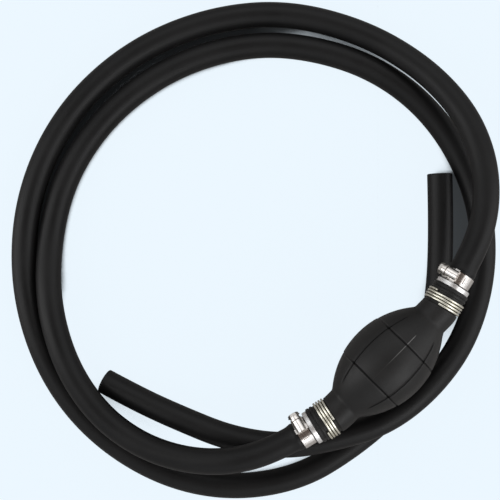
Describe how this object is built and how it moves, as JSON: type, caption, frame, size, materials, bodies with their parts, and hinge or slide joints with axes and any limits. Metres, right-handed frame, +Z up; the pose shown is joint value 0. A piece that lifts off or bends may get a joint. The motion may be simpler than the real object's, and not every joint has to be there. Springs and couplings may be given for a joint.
{
  "type": "siphon bulb pump",
  "caption": "Hand-squeezed rubber siphon bulb with spring check valves in barbed aluminium fittings, wire and worm-drive clamps, and two coiled open-ended fuel hoses.",
  "frame": {"origin": "centre of the rubber bulb, midway between its two necks", "axes": "+X along the bulb from the inlet to the outlet, +Y towards the middle of the coiled hoses, +Z up from the surface that the hoses lie on"},
  "size_m": [0.3235, 0.3001, 0.0687],
  "materials": {
    "bulb_rubber": "matte moulded",
    "hose_rubber": "smooth extruded, satin",
    "seal_rubber": "smooth",
    "fitting_aluminium": "turned, satin",
    "clamp_wire": "drawn wire, bright",
    "clamp_steel": "polished strip",
    "screw_steel": "machined, bright",
    "spring_steel": "drawn wire",
    "valve_plastic": "moulded acetal"
  },
  "bodies": {
    "pump": {"bulb": "bulb_rubber", "inlet_fitting": "fitting_aluminium", "outlet_fitting": "fitting_aluminium", "inlet_valve_spring": "spring_steel", "outlet_valve_spring": "spring_steel", "inlet_valve_retainer": "fitting_aluminium", "outlet_valve_seat": "fitting_aluminium", "inlet_wire_clamp": "clamp_wire", "outlet_wire_clamp": "clamp_wire", "inlet_clamp_band": "clamp_steel", "outlet_clamp_band": "clamp_steel", "inlet_clamp_housing": "clamp_steel", "outlet_clamp_housing": "clamp_steel", "inlet_hose": "hose_rubber", "outlet_hose": "hose_rubber"},
    "inlet_poppet": {"inlet_valve_poppet": "valve_plastic", "inlet_valve_seal": "seal_rubber"},
    "outlet_poppet": {"outlet_valve_poppet": "valve_plastic", "outlet_valve_seal": "seal_rubber"},
    "inlet_screw": {"inlet_clamp_screw": "screw_steel"},
    "outlet_screw": {"outlet_clamp_screw": "screw_steel"}
  },
  "joints": [
    {"name": "inlet_valve_lift", "type": "slide", "parent": "pump", "child": "inlet_poppet", "axis": [0.9724, -0.2334, 0], "range_m": [0, 0.0025], "stiffness_N_per_m": 40, "springref_m": -0.003, "deforming": ["inlet_valve_spring"]},
    {"name": "outlet_valve_lift", "type": "slide", "parent": "pump", "child": "outlet_poppet", "axis": [0.9724, 0.2334, 0], "range_m": [0, 0.0025], "stiffness_N_per_m": 40, "springref_m": -0.003, "deforming": ["outlet_valve_spring"]},
    {"name": "inlet_screw_turn", "type": "hinge", "parent": "pump", "child": "inlet_screw", "pos_m": [-0.06443, 0.01007, 0.01051], "axis": [0.2116, 0.8813, -0.4226], "continuous": true},
    {"name": "outlet_screw_turn", "type": "hinge", "parent": "pump", "child": "outlet_screw", "pos_m": [0.06443, 0.01007, 0.01051], "axis": [-0.2116, 0.8813, -0.4226], "continuous": true}
  ]
}
